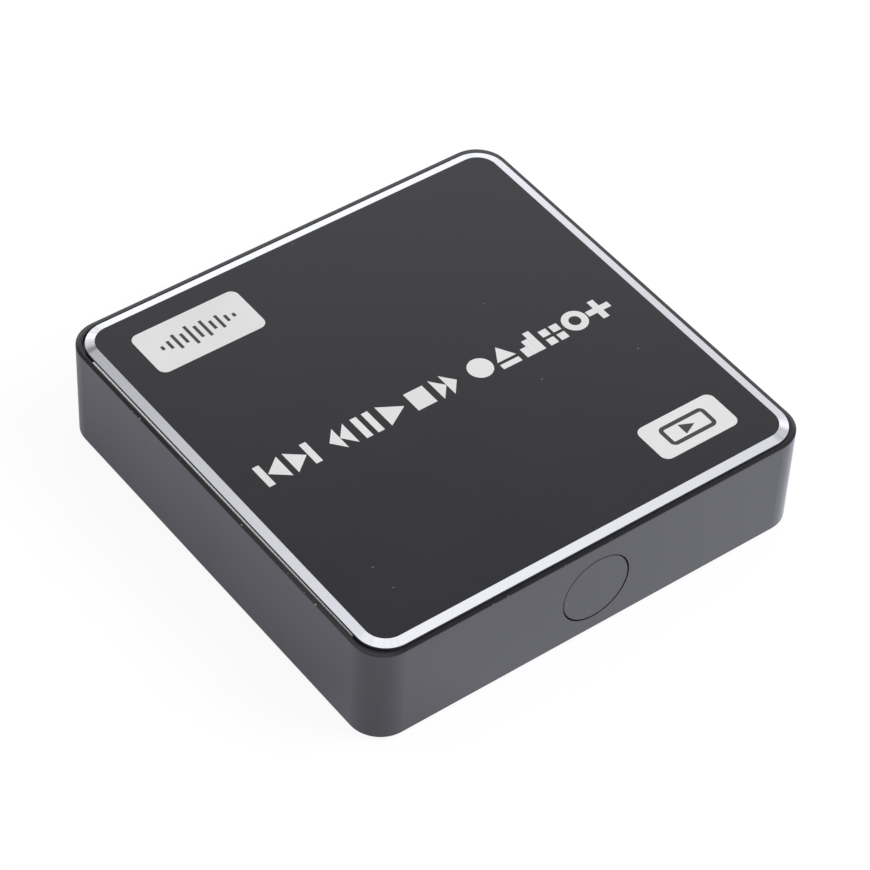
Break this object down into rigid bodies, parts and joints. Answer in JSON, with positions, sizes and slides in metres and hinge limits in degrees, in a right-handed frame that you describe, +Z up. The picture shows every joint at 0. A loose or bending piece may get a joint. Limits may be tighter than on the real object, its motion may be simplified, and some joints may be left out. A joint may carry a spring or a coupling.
{
  "type": "media player",
  "caption": "Small square black media player with a bevelled metal top plate, a flush round power key, a card slot and plug sockets.",
  "frame": {"origin": "on the table under the middle of the body, in the plane of the feet", "axes": "+Z up, -Y is the front with the round key, +X is the right side with the card slot"},
  "size_m": [0.09, 0.09, 0.0214],
  "materials": {
    "black_housing": "satin moulded black",
    "black_plate": "black anodised face with a bright cut bevel",
    "foam_tape": "white double-sided foam tape",
    "black_cover": "fine-grained moulded black",
    "black_rubber": "matt rubber",
    "zinc_screw": "zinc plated",
    "green_board": "solder mask over glass fibre",
    "smoked_key": "smoked plastic that infrared light passes",
    "switch_plastic": "moulded",
    "eye_epoxy": "dark epoxy",
    "lamp_epoxy": "clear epoxy",
    "chip_epoxy": "moulded epoxy",
    "grey_pad": "soft silicone",
    "black_aluminium": "black anodised",
    "can_metal": "drawn can",
    "ferrite": "moulded ferrite",
    "ceramic": "ceramic with tinned ends",
    "socket_steel": "nickel plated sheet",
    "socket_plastic": "moulded black",
    "gold_contact": "gold flashed",
    "spring_steel": "drawn wire"
  },
  "bodies": {
    "case": {"upper_housing": "black_housing", "top_plate": "black_plate", "plate_tape": "foam_tape", "base_cover": "black_cover", "foot_front_left": "black_rubber", "foot_front_right": "black_rubber", "foot_back_left": "black_rubber", "foot_back_right": "black_rubber", "cover_screws": "zinc_screw", "main_board": "green_board", "key_switch_body": "switch_plastic", "infrared_eye": "eye_epoxy", "status_lamp": "lamp_epoxy", "processor": "chip_epoxy", "thermal_pad": "grey_pad", "heat_sink": "black_aluminium", "memory_chips": "chip_epoxy", "flash_chip": "chip_epoxy", "crystal": "can_metal", "power_coil": "ferrite", "capacitors": "can_metal", "chip_parts": "ceramic", "video_socket_shell": "socket_steel", "video_socket_tongue": "socket_plastic", "video_socket_contacts": "gold_contact", "dc_jack_body": "socket_plastic", "dc_jack_pin": "socket_steel", "dc_jack_contact": "socket_steel", "av_jack_body": "socket_plastic", "av_jack_contacts": "gold_contact", "data_socket_shell_1": "socket_steel", "data_socket_tongue_1": "socket_plastic", "data_socket_contacts_1": "gold_contact", "data_socket_shell_2": "socket_steel", "data_socket_tongue_2": "socket_plastic", "data_socket_contacts_2": "gold_contact", "card_frame": "socket_plastic", "card_cover": "socket_steel", "card_contacts": "gold_contact", "card_spring": "spring_steel", "latch_wire": "spring_steel"},
    "key": {"power_key": "smoked_key", "key_switch_stem": "switch_plastic"},
    "card_carriage": {"card_slide": "switch_plastic"}
  },
  "joints": [
    {"name": "key_press", "type": "slide", "parent": "case", "child": "key", "axis": [0, 1, 0], "range_m": [0, 0.0004], "stiffness_N_per_m": 2000},
    {"name": "card_push", "type": "slide", "parent": "case", "child": "card_carriage", "axis": [-1, 0, 0], "range_m": [0, 0.0045], "stiffness_N_per_m": 150, "springref_m": -0.001, "deforming": ["card_spring"]}
  ]
}
